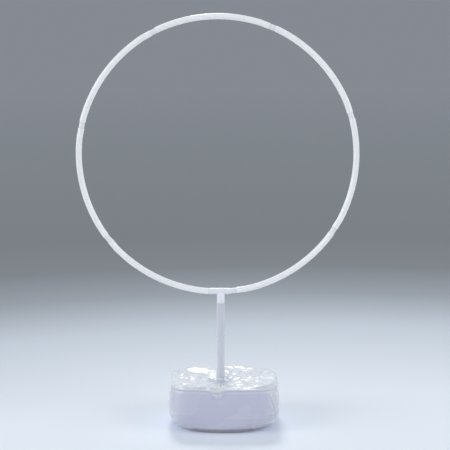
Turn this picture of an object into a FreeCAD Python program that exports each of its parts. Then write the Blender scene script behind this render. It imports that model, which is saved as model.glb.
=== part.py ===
"""A hoop on a short pole, standing in a water-filled bag. Sizes are in millimetres.

The hoop lies in the XZ plane and faces -Y. The origin is on the floor, under the pole.
Seven bent tubes and a tee plug into each other, end to end, to close the hoop. The
tee's stub plugs into the pole, the pole into the lower pole, and the lower pole into a
ribbed plate on the floor of the bag. The bag's mouth is gathered and tied round the
lower pole, and water fills it.
"""
import FreeCAD
import Part
import math
import os

V = FreeCAD.Vector
UP = V(0, 0, 1)
OUT_DIR = "parts"

# Hoop tubes
hoop_radius = 365.0  # from the hoop's centre to the middle of each joint
hoop_offset = 8.0  # the hoop's centre is this far left of the pole
tube_count = 7
tube_od = 16.2
tube_wall = 0.8
tube_arc_radius = 376.0  # the long bend is flatter than the hoop, which leaves a corner at each joint
end_bend_radius = 60.0  # the short bends beside the straight ends
socket_depth = 22.0  # straight part of the wide end
spigot_end_gap = 2.0  # from a spigot's tip to the end of that straight part
neck_length = 19.0  # the part of the narrow end that is left showing
swage_length = 2.5  # where a tube narrows to its neck
push_clearance = 0.05  # radial gap of every push fit

# Tee
tee_od = 16.8
tee_socket_reach = 31.0  # from the pole's axis to the mouth of the tee's socket
tee_shoulder_reach = 24.5  # from the pole's axis to the shoulder of the tee's narrow end
tee_neck_shown = 3.0  # of the last tube's neck, outside the tee's socket
stub_od = 20.3
stub_wall = 1.5
stub_chamfer = 3.0  # at the stub's top, beside the barrel
shoulder_wall = 3.0  # between the barrel's bore and the tee's shoulder
stub_shown = 23.0  # below the tee, above the pole's rim

# Pole and lower pole
pole_shown = 208.0  # between the tee's stub and the lower pole's rim
pole_wall = 0.95
pole_socket_depth = 24.0
stop_rib_height = 1.5  # the rib inside each wide end, on which the piece above stands
stop_rib_length = 2.0
lower_pole_rim = 119.0  # height of the lower pole's rim above the floor
seat_gap = 0.05  # between a plugged-in end and the rib that it stands on

# Plate inside the bag
plate_margin = 8.0  # from the plate's rim to the edge of the bag's flat foot
plate_thickness = 3.0
boss_wall = 3.2
boss_height = 36.0
boss_floor = 3.0
rib_count = 6
rib_thickness = 3.0
rib_height = 18.0
rib_end_height = 3.0
rib_edge_gap = 8.0  # from a rib's end to the plate's rim

# Bag
bag_width = 301.0
bag_depth = 252.0
bag_offset = 9.0  # the bag's middle is this far right of the pole
bag_corner_radius = 50.0
bag_foot_inset = 30.0  # how far the foot draws in below the widest level
bag_foot_rise = 48.0
bag_top_inset = 10.0
bag_top_drop = 30.0
bag_curve_steps = 5  # levels in each of the curves of the bag's side
bag_film = 0.6
dish_margin = 24.0  # flat rim of the top, in front of the dish and behind it
dish_depth = 13.0  # how far the top sinks to the tied neck
neck_rise = 6.0  # height of the gathered neck above the sunken film
rim_shown = 6.0  # of the lower pole above the neck
neck_film = 1.6  # the gathered film is several layers thick
frill_radius = 19.0
frill_height = 4.5
fit_gap = 0.3  # between soft or wet pieces and what they lie against

# Tie
tie_wire = 1.7
tie_tail = 16.0
tie_tail_spread = 42.0  # degrees either side of the front
tie_tail_lift = 25.0  # degrees above level
tie_below_top = 3.0

# Worked out from the sizes above
tube_r = tube_od / 2
tube_bore_r = tube_r - tube_wall
spigot_r = tube_bore_r - push_clearance
spigot_bore_r = spigot_r - tube_wall
spigot_insert = socket_depth - spigot_end_gap
joint_half = (neck_length + socket_depth) / 2
stub_r = stub_od / 2
pole_bore_r = stub_r + push_clearance
pole_r = pole_bore_r + pole_wall
pole_rim = lower_pole_rim + pole_shown
barrel_z = pole_rim + stub_shown + tee_od / 2
first_joint = math.degrees(
    math.asin((hoop_offset + tee_shoulder_reach + joint_half) / hoop_radius)
)
hoop_centre_z = (
    barrel_z
    + hoop_radius * math.cos(math.radians(first_joint))
    + joint_half * math.sin(math.radians(first_joint))
)
last_shoulder = math.degrees(
    math.asin((tee_socket_reach + tee_neck_shown - hoop_offset) / hoop_radius)
)
joint_pitch = (
    360
    - last_shoulder
    - first_joint
    + math.degrees(joint_half / hoop_radius)
) / tube_count
pole_insert = pole_socket_depth - seat_gap
plate_bottom = bag_film
plate_radius = bag_depth / 2 - bag_foot_inset - plate_margin
boss_r = pole_r + push_clearance + boss_wall
lower_pole_foot = plate_bottom + boss_floor
neck_r = pole_r + fit_gap + neck_film
neck_top = lower_pole_rim - rim_shown
neck_foot = neck_top - neck_rise
bag_height = neck_foot + dish_depth
dish_radius = bag_depth / 2 - bag_top_inset - dish_margin


def rod(start, end, radius):
    """A round bar from one point to another."""
    return Part.makeCylinder(radius, (end - start).Length, start, end - start)


def pipe(start, end, radius, bore):
    """A straight round tube."""
    return rod(start, end, radius).cut(rod(start, end, bore))


def fused(solids):
    """One solid from several that touch or overlap."""
    whole = solids[0]
    for piece in solids[1:]:
        whole = whole.fuse(piece)
    return whole.removeSplitter()


def inward(along):
    """The direction to the hoop's inside, for a direction of travel round it."""
    return V(-along.z, 0, along.x)


def turn_between(first, second):
    """Degrees from one direction to another, going round the hoop as its tubes do."""
    cross = first.x * second.z - first.z * second.x
    return math.degrees(math.atan2(cross, first.dot(second)))


def on_hoop(angle):
    """Point and direction of travel on the hoop's circle, in degrees round from the bottom."""
    turn = math.radians(angle)
    outward = V(math.sin(turn), 0, -math.cos(turn))
    point = V(-hoop_offset, 0, hoop_centre_z) + outward * hoop_radius
    return point, V(math.cos(turn), 0, math.sin(turn))


def tube_path(start, start_along, end, end_along):
    """Short bend, long bend, short bend: (centre, first point, degrees) of each, in order."""
    near = start + inward(start_along) * end_bend_radius
    far = end + inward(end_along) * end_bend_radius
    reach = tube_arc_radius - end_bend_radius
    gap = far - near
    middle = (near + far) * 0.5
    centre = middle + inward(gap).normalize() * math.sqrt(reach**2 - (gap.Length / 2) ** 2)
    first = centre + (near - centre).normalize() * tube_arc_radius
    last = centre + (far - centre).normalize() * tube_arc_radius
    return [
        (near, start, turn_between(start - near, first - near)),
        (centre, first, turn_between(first - centre, last - centre)),
        (far, last, turn_between(last - far, end - far)),
    ]


def bent_bar(bends, radius):
    """Round bars along a row of bends, joined."""
    bars = []
    for centre, first, turn in bends:
        along = V(0, -1, 0).cross(first - centre)
        face = Part.Face(Part.Wire(Part.makeCircle(radius, first, along)))
        bars.append(face.revolve(centre, V(0, -1, 0), turn))
    return bars


def swage(start, along, wide, narrow):
    """The short cone where a tube narrows to its neck."""
    return Part.makeCone(wide, narrow, swage_length, start, along)


def hoop_tube(start, start_along, end, end_along):
    """A bent tube from its wide mouth to its shoulder, with its narrow end beyond."""
    socket_end = start + start_along * socket_depth
    bends = tube_path(socket_end, start_along, end, end_along)
    tip = end + end_along * (neck_length + spigot_insert)
    outside = fused(
        [rod(start, socket_end, tube_r)]
        + bent_bar(bends, tube_r)
        + [swage(end, end_along, tube_r, spigot_r), rod(end, tip, spigot_r)]
    )
    bore = fused(
        [rod(start, socket_end, tube_bore_r)]
        + bent_bar(bends, tube_bore_r)
        + [swage(end, end_along, tube_bore_r, spigot_bore_r), rod(end, tip, spigot_bore_r)]
    )
    return outside.cut(bore)


def hoop_tubes():
    """All the tubes, from the tee's narrow end round to the tee's socket."""
    tubes = []
    for number in range(tube_count):
        joint, along = on_hoop(first_joint + number * joint_pitch)
        start = joint + along * (neck_length - joint_half)
        if number < tube_count - 1:
            joint, end_along = on_hoop(first_joint + (number + 1) * joint_pitch)
            end = joint - end_along * joint_half
        else:
            end_along = V(1, 0, 0)
            end = V(-tee_socket_reach - tee_neck_shown, 0, barrel_z)
        tubes.append(hoop_tube(start, along, end, end_along))
    return tubes


def ring_tee():
    """The tee at the hoop's foot: a socket, a narrow end and a stub for the pole."""
    left = V(-tee_socket_reach, 0, barrel_z)
    right = V(tee_shoulder_reach, 0, barrel_z)
    middle = V(0, 0, barrel_z)
    barrel_r = tee_od / 2
    joint, along = on_hoop(first_joint)
    root = joint - along * (joint_half + shoulder_wall / 2)
    tip = joint + along * (neck_length - joint_half + spigot_insert)
    stub_end = V(0, 0, pole_rim - pole_insert)
    stub_top = middle - UP * stub_chamfer
    outside = fused(
        [
            rod(left, right, barrel_r),
            rod(root, tip, spigot_r),
            rod(stub_top, stub_end, stub_r),
            Part.makeCone(stub_r, stub_r - stub_chamfer, stub_chamfer, stub_top),
        ]
    )
    hollow = fused(
        [
            rod(left, right - V(shoulder_wall, 0, 0), tube_bore_r),
            rod(root - along * shoulder_wall, tip, spigot_bore_r),
        ]
    )
    stub_bore = rod(middle - UP * (barrel_r + stub_wall), stub_end, stub_r - stub_wall)
    return outside.cut(hollow).cut(stub_bore)


def stop_rib(rim):
    """The rib inside a wide end whose rim is at this height."""
    top = V(0, 0, rim - pole_socket_depth)
    return pipe(top - UP * stop_rib_length, top, pole_bore_r + pole_wall / 2, pole_bore_r - stop_rib_height)


def pole():
    """The pole that shows: a wide mouth at the top, tapering to a foot that plugs in."""
    socket_end = pole_rim - pole_socket_depth
    foot_r = pole_bore_r - push_clearance
    foot = lower_pole_rim - pole_insert
    taper = socket_end - lower_pole_rim
    outside = fused(
        [
            rod(V(0, 0, socket_end), V(0, 0, pole_rim), pole_r),
            Part.makeCone(foot_r, pole_r, taper, V(0, 0, lower_pole_rim)),
            rod(V(0, 0, foot), V(0, 0, lower_pole_rim), foot_r),
        ]
    )
    hollow = fused(
        [
            rod(V(0, 0, socket_end), V(0, 0, pole_rim), pole_bore_r),
            Part.makeCone(foot_r - pole_wall, pole_bore_r, taper, V(0, 0, lower_pole_rim)),
            rod(V(0, 0, foot), V(0, 0, lower_pole_rim), foot_r - pole_wall),
        ]
    )
    return outside.cut(hollow).fuse(stop_rib(pole_rim)).removeSplitter()


def lower_pole():
    """The straight tube inside the bag, from the plate's boss to just above the neck."""
    tube = pipe(V(0, 0, lower_pole_foot), V(0, 0, lower_pole_rim), pole_r, pole_bore_r)
    return tube.fuse(stop_rib(lower_pole_rim)).removeSplitter()


def base_plate(extra=0.0):
    """The ribbed plate that holds the lower pole upright, or its outside grown by extra."""
    bottom = V(0, 0, plate_bottom)
    disc_top = plate_bottom + plate_thickness
    boss_top = V(0, 0, plate_bottom + boss_height + extra)
    solids = [
        rod(bottom, V(0, 0, disc_top + extra), plate_radius + extra),
        rod(bottom, boss_top, boss_r + extra),
    ]
    for number in range(rib_count):
        outer = plate_radius - rib_edge_gap
        side = rib_thickness / 2 + extra
        outline = Part.makePolygon(
            [
                V(0, -side, disc_top),
                V(outer + extra, -side, disc_top),
                V(outer + extra, -side, disc_top + rib_end_height + extra),
                V(boss_r, -side, disc_top + rib_height + extra),
                V(0, -side, disc_top + rib_height + extra),
                V(0, -side, disc_top),
            ]
        )
        rib = Part.Face(outline).extrude(V(0, 2 * side, 0))
        rib.rotate(V(0, 0, 0), UP, (number + 0.5) * 360 / rib_count)
        solids.append(rib)
    whole = fused(solids)
    if extra:
        return whole
    bore_top = V(0, 0, plate_bottom + boss_height)
    return whole.cut(rod(V(0, 0, lower_pole_foot), bore_top, pole_r + push_clearance))


def rounded_outline(width, depth, corner, height):
    """One level of the bag: a rectangle with round corners, as a wire at this height."""
    half_w = width / 2
    half_d = depth / 2
    run_w = half_w - corner
    run_d = half_d - corner
    corners = [(run_w, run_d, 0), (-run_w, run_d, 90), (-run_w, -run_d, 180), (run_w, -run_d, 270)]
    arcs = []
    for x, y, turn in corners:
        centre = V(bag_offset + x, y, height)
        arcs.append(Part.makeCircle(corner, centre, UP, turn, turn + 90))
    edges = []
    for this, following in zip(arcs, arcs[1:] + arcs[:1]):
        edges.append(this)
        edges.append(Part.makeLine(this.Vertexes[-1].Point, following.Vertexes[0].Point))
    return Part.Wire(edges)


def bag_body(skin):
    """The filled bag as a solid, its faces moved in by skin."""
    levels = []
    for step in range(bag_curve_steps + 1):
        turn = math.radians(90 * step / bag_curve_steps)
        height = bag_foot_rise * (1 - math.cos(turn))
        levels.append((height, bag_foot_inset * (1 - math.sin(turn))))
    for step in range(bag_curve_steps + 1):
        turn = math.radians(90 * step / bag_curve_steps)
        height = bag_height - bag_top_drop * (1 - math.sin(turn))
        levels.append((height, bag_top_inset * (1 - math.cos(turn))))
    squeeze = (bag_height - 2 * skin) / bag_height
    outlines = []
    for height, inset in levels:
        narrower = 2 * (inset + skin)
        corner = bag_corner_radius - inset - skin
        outlines.append(
            rounded_outline(bag_width - narrower, bag_depth - narrower, corner, skin + height * squeeze)
        )
    body = Part.makeLoft(outlines, True, True)
    slope = dish_depth / (dish_radius - neck_r)
    over = fit_gap
    dish = Part.makeCone(
        neck_r,
        dish_radius + over / slope,
        dish_depth + over,
        V(0, 0, neck_foot - skin),
    )
    return body.cut(dish)


def bag():
    """The bag's film, with the gathered neck and its frill round the lower pole."""
    neck_bore = pole_r + fit_gap
    film = bag_body(0).cut(bag_body(bag_film))
    film = film.cut(rod(V(0, 0, neck_foot - 2 * bag_film), V(0, 0, neck_top), neck_bore))
    neck = pipe(V(0, 0, neck_foot - bag_film), V(0, 0, neck_top), neck_r, neck_bore)
    frill = Part.makeCone(neck_r, frill_radius, frill_height, V(0, 0, neck_top))
    frill = frill.cut(
        Part.makeCone(neck_bore, frill_radius - neck_film, frill_height, V(0, 0, neck_top))
    )
    return film.fuse(neck).fuse(frill).removeSplitter()


def water():
    """The water in the bag, clear of the plate and the lower pole."""
    body = bag_body(bag_film + fit_gap)
    body = body.cut(base_plate(fit_gap))
    return body.cut(rod(V(0, 0, plate_bottom), V(0, 0, lower_pole_rim), pole_r + fit_gap))


def neck_tie():
    """A coated wire round the neck, its two ends bent out to the front."""
    height = neck_top - tie_below_top
    wire_r = tie_wire / 2
    loop_r = neck_r + push_clearance + wire_r
    pieces = [Part.makeTorus(loop_r, wire_r, V(0, 0, height), UP)]
    for side in (-1, 1):
        turn = math.radians(side * tie_tail_spread)
        lift = math.radians(tie_tail_lift)
        root = V(0, -loop_r, height)
        outward = V(math.sin(turn), -math.cos(turn), 0) * math.cos(lift)
        tip = root + (outward + UP * math.sin(lift)) * tie_tail
        pieces.append(rod(root, tip, wire_r))
        pieces.append(Part.makeSphere(wire_r, tip))
    return fused(pieces)


def main():
    pieces = {
        "ring_tee": ring_tee(),
        "pole": pole(),
        "lower_pole": lower_pole(),
        "base_plate": base_plate(),
        "bag": bag(),
        "water": water(),
        "neck_tie": neck_tie(),
    }
    for number, tube in enumerate(hoop_tubes(), 1):
        pieces[f"hoop_tube_{number}"] = tube
    os.makedirs(OUT_DIR, exist_ok=True)
    for name, shape in pieces.items():
        shape.exportStep(f"{OUT_DIR}/{name}.step")
        print(name, shape.isValid(), len(shape.Solids), round(shape.Volume), shape.BoundBox)


main()
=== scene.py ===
"""Dresses a hoop stand: moulded hoop tubes, tee and poles, a water-filled film bag and its tie.

Lengths are in metres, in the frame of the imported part: the pole stands on the origin, the
hoop lies in the XZ plane, and the viewer is at -Y.
"""
import math

import bpy
import numpy as np
from bpy.props import (
    FloatProperty,
    FloatVectorProperty,
    IntProperty,
    PointerProperty,
)
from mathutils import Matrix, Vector, noise

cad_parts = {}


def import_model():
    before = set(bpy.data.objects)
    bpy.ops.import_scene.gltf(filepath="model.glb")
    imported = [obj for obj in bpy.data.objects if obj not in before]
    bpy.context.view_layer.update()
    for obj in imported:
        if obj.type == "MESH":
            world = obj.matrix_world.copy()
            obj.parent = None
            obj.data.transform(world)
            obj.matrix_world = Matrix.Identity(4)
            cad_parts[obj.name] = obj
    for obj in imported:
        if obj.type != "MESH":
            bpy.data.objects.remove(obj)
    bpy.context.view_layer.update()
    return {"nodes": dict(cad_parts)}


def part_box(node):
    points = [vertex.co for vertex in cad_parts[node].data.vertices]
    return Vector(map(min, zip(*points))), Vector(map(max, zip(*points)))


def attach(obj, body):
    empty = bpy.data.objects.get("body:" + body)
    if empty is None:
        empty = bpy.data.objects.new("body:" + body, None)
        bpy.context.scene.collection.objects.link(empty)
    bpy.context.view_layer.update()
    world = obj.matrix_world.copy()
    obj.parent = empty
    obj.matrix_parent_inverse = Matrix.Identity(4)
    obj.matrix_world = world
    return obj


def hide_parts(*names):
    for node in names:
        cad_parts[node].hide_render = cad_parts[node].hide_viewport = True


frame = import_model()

bl_info = {
    "name": "Hoop stand",
    "version": (1, 0, 0),
    "blender": (4, 5, 0),
    "location": "3D View > Sidebar > Hoop stand",
    "description": "Builds a plastic hoop on a pole, standing in a water-filled film bag",
    "category": "Add Mesh",
}

TUBE_NAMES = sorted(name for name in frame["nodes"] if name.startswith("hoop_tube_"))
POLE_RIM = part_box("pole")[1].z
LOWER_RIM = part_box("lower_pole")[1].z
BAG_LOW, BAG_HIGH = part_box("bag")
BAG_MIDDLE = (BAG_HIGH.x + BAG_LOW.x) / 2
TIE_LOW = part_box("neck_tie")[0]
TURN = 2 * math.pi

# Corners of a CAD mesh that are this close are one corner
WELD = 0.00001

# The film's levels: its foot, the crease over it, its walls, the curve into its top, and its top
FOOT_LEVELS = 6
CREASE_LEVELS = 5
LOW_LEVELS = 12
HIGH_LEVELS = 24
EDGE_LEVELS = 5
TOP_LEVELS = 46

# The plan's squareness, from an ellipse at 2, under the crease and up the walls
FOOT_SQUARENESS = 2.2
WALL_SQUARENESS = 6.0

# Where the neck is tied, between the film's top and its frill
NECK_FOOT = TIE_LOW.z - 0.0045
NECK_TOP = TIE_LOW.z + 0.0045

# From the top into the front wall, and from the foot into the fold at the right end
FRONT_WALL = (0.10, 0.115)
END_FOLD_FOOT = (0.030, 0.042)

# The lifted corner of the foot: its direction and spread in degrees, its share and its height
LIFT_ANGLE = -38
LIFT_SPREAD = 24
LIFT_SHARE = 0.08
LIFT_HEIGHT = 0.03

# The knob at the foot of the end fold: its direction and spread, its height, and its pull
KNOB_ANGLE = -38.5
KNOB_SPREAD = 7
KNOB_HEIGHT = 0.026
KNOB_PULL = (0.0055, -0.0045, 0.001)

# Degrees from one gather to the next, and their height
GATHER_DEGREES = 5.5
GATHER_HEIGHT = 0.0028

# Creases along the front wall: height, slant, and where each starts in X
WALL_CREASES = ((0.0480, 0.010, 0.0), (0.0262, 0.044, -0.06))

# Widths of the facets that the film crumples into, from place to place
TOP_WAVES = (0.070, 0.052, 0.040, 0.030, 0.023, 0.018, 0.014)
STREAK_WAVES = (0.021, 0.016, 0.012)
GATHER_WAVES = (0.014, 0.010)
WALL_WAVES = (0.045, 0.038, 0.030, 0.022)
FLAP_WAVES = (0.012, 0.009)

# Frames that the film takes to settle, and the share of the top by the rim that moves less
SETTLING_FRAMES = 24
RIM_SHARE = 0.35

# The tie's wire: its radius, its gap to the neck, and how its loops and ends are divided
WIRE = 0.0007
WIRE_GAP = 0.0005
WIRE_STEPS = 144
TAIL_STEPS = 22
TAIL_TWIST = 0.45

# The floor: its sides, the distance at which its painted light ends, its painted light from near
# to far as (share of that distance, sRGB), a pale pool round the stand falling to grey far behind,
# and its own colour where only its light counts
FLOOR_SIDES = 96
FLOOR_REACH = 10.0
FLOOR_PAINTED_LIGHT = (
    (0.13, (227, 234, 242)),
    (0.21, (197, 205, 215)),
    (0.26, (155, 161, 169)),
    (0.31, (130, 135, 140)),
    (0.37, (124, 129, 134)),
    (1.0, (135, 139, 146)),
)
FLOOR_LIGHT = (0.78, 0.80, 0.84)

# The lamps: name, strength, angle across in degrees, and direction
LAMPS = (
    ("high_back", 1.10, 16, Vector((0.08, -0.90, -0.97))),
    ("left", 1.40, 50, Vector((1.0, 0.48, -0.38))),
    ("right", 1.14, 50, Vector((-1.0, 0.48, -0.38))),
)


def length(name, description, default):
    """A size in metres for the panel."""
    return FloatProperty(
        name=name, description=description, default=default, unit="LENGTH", precision=4
    )


def plain(name, description, default):
    """A number without a unit for the panel."""
    return FloatProperty(name=name, description=description, default=default)


def whole(name, description, default, low, high):
    """A whole number for the panel."""
    return IntProperty(name=name, description=description, default=default, min=low, max=high)


def colour(name, description, default):
    """A linear colour for the panel."""
    return FloatVectorProperty(
        name=name, description=description, default=default, subtype="COLOR", size=3, min=0, max=1
    )


class HoopSizes(bpy.types.PropertyGroup):
    """Sizes and colours of the hoop and its tee."""

    radius: length("Hoop radius", "From the hoop's centre to the middle of each joint", 0.365)
    offset: length("Offset", "How far the hoop's centre is left of the pole", 0.008)
    tube_radius: length("Tube radius", "Outside radius of the wide tube", 0.0081)
    neck_radius: length("Neck radius", "Outside radius of the narrow end", 0.00725)
    wall: length("Wall", "Wall of the tubes", 0.0008)
    socket: length("Socket", "Straight part of the wide end", 0.022)
    neck: length("Neck", "Part of the narrow end left showing", 0.019)
    insert: length("Insert", "How far a narrow end goes into the next tube", 0.020)
    long_bend: length("Long bend", "Radius of a tube's long bend", 0.376)
    short_bend: length("Short bend", "Radius of the bends beside the straight ends", 0.060)
    lip: length("Lip", "Rise of the bead at a wide mouth", 0.00022)
    shoulder: length("Shoulder", "From the pole's axis to the tee's shoulder", 0.0245)
    last_shoulder: length("Last shoulder", "From the pole's axis to the last tube", 0.034)
    stub: length("Stub", "Part of the tee's stub that shows", 0.023)
    tee_radius: length("Tee radius", "Outside radius of the tee's barrel", 0.0084)
    sides: whole("Sides", "Sides of a tube", 40, 12, 96)
    plastic: colour("Plastic", "Milky plastic of the tubes", (0.94, 0.955, 0.99))
    tee_plastic: colour("Tee plastic", "Milky plastic of the tee", (0.80, 0.82, 0.90))


class PoleSizes(bpy.types.PropertyGroup):
    """Sizes and colours of the pole and the lower pole."""

    lip: length("Lip", "Rounding of the rims", 0.0004)
    plastic: colour("Plastic", "Smoky plastic of the poles", (0.585, 0.60, 0.68))
    plate: colour("Plate", "Plastic of the ribbed plate", (0.82, 0.84, 0.88))


class BagSizes(bpy.types.PropertyGroup):
    """Sizes and colours of the filled bag."""

    columns: whole("Columns", "Points round the bag", 340, 60, 480)
    foot_inset: length("Foot inset", "How far the foot draws in", 0.0105)
    foot_edge: length("Foot edge", "Height of the crease over the underside", 0.0130)
    foot_rise: length("Foot rise", "Height at which the walls stand upright", 0.055)
    left_draw: length("Left draw", "How much further the left end draws in at its foot", 0.010)
    welt: length("Welt", "Height of the puffed film behind the front edge", 0.0012)
    top_inset: length("Top inset", "How far the top edge is rounded in", 0.0022)
    top_drop: length("Top drop", "Height of the top edge's curve", 0.0028)
    top_fall: length("Top fall", "How much lower the top edge is at the back", 0.0012)
    corner_slump: length("Corner slump", "How much lower the top's corners are at the back", 0.004)
    corner_rise: length("Corner rise", "How much higher the top's corners are at the front", 0.0030)
    top_draw: length("Top draw", "How far the front and back lean in up to the top edge", 0.003)
    top_lean: length("Top lean", "How far the ends lean in up to the top edge", 0.008)
    side_inset: length("Side inset", "How far the ends stay inside the bag's box", 0.0035)
    neck_radius: length("Neck radius", "Outside radius of the tied neck", 0.0126)
    frill_radius: length("Frill radius", "Radius of the frill's lip", 0.0133)
    film: length("Film", "Thickness of the film", 0.0003)
    flap_tip: length("Flap tip", "Height of the tip of the flap over the front edge", 0.0975)
    flap_side: length("Flap side", "Place of the flap, right of the pole", -0.010)
    flap_width: length("Flap width", "Half of the flap's width at the top edge", 0.021)
    slack: plain("Slack", "Less is more film round the top", 0.86)
    film_bending: plain("Bending", "Stiffness of the film's folds", 0.5)
    swell: length("Swell", "The most that a point may move as the film settles", 0.006)
    film_pressure: plain("Pressure", "Pressure of the water", 0.5)
    pleats: whole("Pleats", "Main pleats round the neck", 15, 5, 60)
    pleat_height: length("Pleat height", "Height of the main pleats", 0.0038)
    crumple: plain("Crumple", "Strength of the small creases", 1.0)
    film_colour: colour("Film", "Milky lilac film", (0.74, 0.76, 1.0))
    # The film's creased white, and painted light on its top and ends
    fold_and_top_light_colour: colour("Folds", "Film where it is creased white", (0.87, 0.92, 1.0))
    # Painted shade where the film turns under the front
    painted_under_shade: colour("Underside", "Film where it turns under the front", (0.40, 0.37, 0.48))
    water_colour: colour("Water", "Water seen through the film", (0.55, 0.62, 0.80))
    tie_colour: colour("Tie", "Coated wire of the tie", (0.60, 0.67, 0.92))


class StageSizes(bpy.types.PropertyGroup):
    """Floor, lamps and camera."""

    camera_distance: length("Distance", "Camera to the hoop's plane", 4.5)
    camera_height: length("Height", "Camera above the floor", 1.347)
    camera_aim: length("Aim", "Height that the camera is aimed at", 0.5373)
    camera_side: length("Side", "Camera to the right of the pole", 0.0113)
    view_width: length("View width", "Width of the picture at the aimed point", 1.1923)
    floor_radius: length("Floor radius", "Radius of the floor", 60.0)
    # The middle of the floor's painted pool of light
    light_pool_x: length("Pale centre X", "Middle of the floor's pale area", 0.30)
    light_pool_y: length("Pale centre Y", "Middle of the floor's pale area", -1.0)


def add(tree, kind, inputs=None, **settings):
    """A node with its inputs linked or set."""
    made = tree.nodes.new(kind)
    for key, value in settings.items():
        setattr(made, key, value)
    for name, value in (inputs or {}).items():
        socket = made.inputs[name]
        if isinstance(value, bpy.types.NodeSocket):
            tree.links.new(value, socket)
        else:
            socket.default_value = value
    return made


def group_socket(tree, name, way, default=None, kind="Float"):
    """A named input or output of a node group."""
    socket = tree.interface.new_socket(name=name, in_out=way, socket_type="NodeSocket" + kind)
    if default is not None:
        socket.default_value = default


def maths(tree, kind, *values):
    """The result of a sum on some values."""
    return add(tree, "ShaderNodeMath", dict(enumerate(values)), operation=kind).outputs[0]


def ranged(tree, value, low=0.0, high=1.0, at_low=0.0, at_high=1.0, **settings):
    """A value carried from one range to another, and held at its ends."""
    ends = {"From Min": low, "From Max": high, "To Min": at_low, "To Max": at_high}
    return add(tree, "ShaderNodeMapRange", {"Value": value, **ends}, **settings).outputs["Result"]


def link_mesh(name, verts, faces, edges=()):
    """A mesh object in the scene, smooth where it has faces."""
    mesh = bpy.data.meshes.new(name)
    mesh.from_pydata([tuple(v) for v in verts], list(edges), [tuple(f) for f in faces])
    mesh.update()
    for polygon in mesh.polygons:
        polygon.use_smooth = True
    made = bpy.data.objects.new(name, mesh)
    bpy.context.scene.collection.objects.link(made)
    return made


def baked(piece):
    """The piece with its modifiers turned into a plain mesh."""
    bpy.context.view_layer.update()
    graph = bpy.context.evaluated_depsgraph_get()
    mesh = bpy.data.meshes.new_from_object(piece.evaluated_get(graph), depsgraph=graph)
    mesh.name = piece.name
    piece.modifiers.clear()
    piece.data = mesh
    return piece


def copy_of(node, name):
    """A new object with a copy of a CAD node's mesh."""
    made = bpy.data.objects.new(name, frame["nodes"][node].data.copy())
    bpy.context.scene.collection.objects.link(made)
    return made


def welded(piece):
    """Joins the corners that its CAD faces share."""
    piece.modifiers.new("Weld", "WELD").merge_threshold = WELD


def paint(piece, material):
    """Gives a new piece its only material."""
    piece.data.materials.clear()
    piece.data.materials.append(material)


def seat(piece, body, slot, *nodes):
    """Rides the piece on its body, in the place of its CAD nodes."""
    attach(piece, body)
    if nodes:
        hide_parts(*nodes)


# Materials


def object_place(tree):
    """The place of a point on its own object."""
    return add(tree, "ShaderNodeTexCoord").outputs["Object"]


def noise_at(tree, place, scale, detail):
    """A noise's value at a place."""
    inputs = {"Vector": place, "Scale": scale, "Detail": detail}
    return add(tree, "ShaderNodeTexNoise", inputs).outputs["Fac"]


def point_value(tree, name):
    """The value of one of the mesh's own attributes."""
    return add(tree, "ShaderNodeAttribute", attribute_name=name).outputs["Fac"]


def bumped(tree, shader, height, strength, distance):
    """Roughens the shader's surface by a height."""
    inputs = {"Height": height, "Strength": strength, "Distance": distance}
    bump = add(tree, "ShaderNodeBump", inputs)
    tree.links.new(bump.outputs["Normal"], shader.inputs["Normal"])


def constants(shader, values):
    """Sets some of the shader's own sockets."""
    for name, value in values.items():
        shader.inputs[name].default_value = value


def moulded_group():
    """Mottle, fine grain and rub marks of a moulded plastic surface."""
    name = "Moulded surface"
    if name in bpy.data.node_groups:
        return bpy.data.node_groups[name]
    tree = bpy.data.node_groups.new(name, "ShaderNodeTree")
    for socket, scale in (("Mottle scale", 60.0), ("Grain scale", 300.0), ("Rub scale", 35.0)):
        group_socket(tree, socket, "INPUT", scale)
    for socket in ("Mottle", "Rub", "Height"):
        group_socket(tree, socket, "OUTPUT")
    given = tree.nodes.new("NodeGroupInput").outputs
    place = object_place(tree)
    mottle = noise_at(tree, place, given["Mottle scale"], 4.0)
    grain = noise_at(tree, place, given["Grain scale"], 2.0)
    rub = noise_at(tree, place, given["Rub scale"], 6.0)
    rubbed = ranged(tree, rub, low=0.52, high=0.72)
    height = maths(tree, "MULTIPLY_ADD", grain, 0.5, rubbed)
    end = tree.nodes.new("NodeGroupOutput")
    for socket, value in (("Mottle", mottle), ("Rub", rubbed), ("Height", height)):
        tree.links.new(value, end.inputs[socket])
    return tree


def new_material(name):
    """An empty material, its tree and its Principled shader."""
    made = bpy.data.materials.new(name)
    made.use_nodes = True
    return made, made.node_tree, made.node_tree.nodes["Principled BSDF"]


def mixed(tree, share, first, second):
    """A colour between two, by a share that varies over the surface."""
    mix = tree.nodes.new("ShaderNodeMix")
    mix.data_type = "RGBA"
    tree.links.new(share, mix.inputs["Factor"])
    for socket, value in ((mix.inputs[6], first), (mix.inputs[7], second)):
        if isinstance(value, bpy.types.NodeSocket):
            tree.links.new(value, socket)
        else:
            socket.default_value = (*value, 1.0)
    return mix.outputs[2]


def dimmed(tint, share):
    """A darker version of a colour."""
    return tuple(part * share for part in tint)


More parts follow.
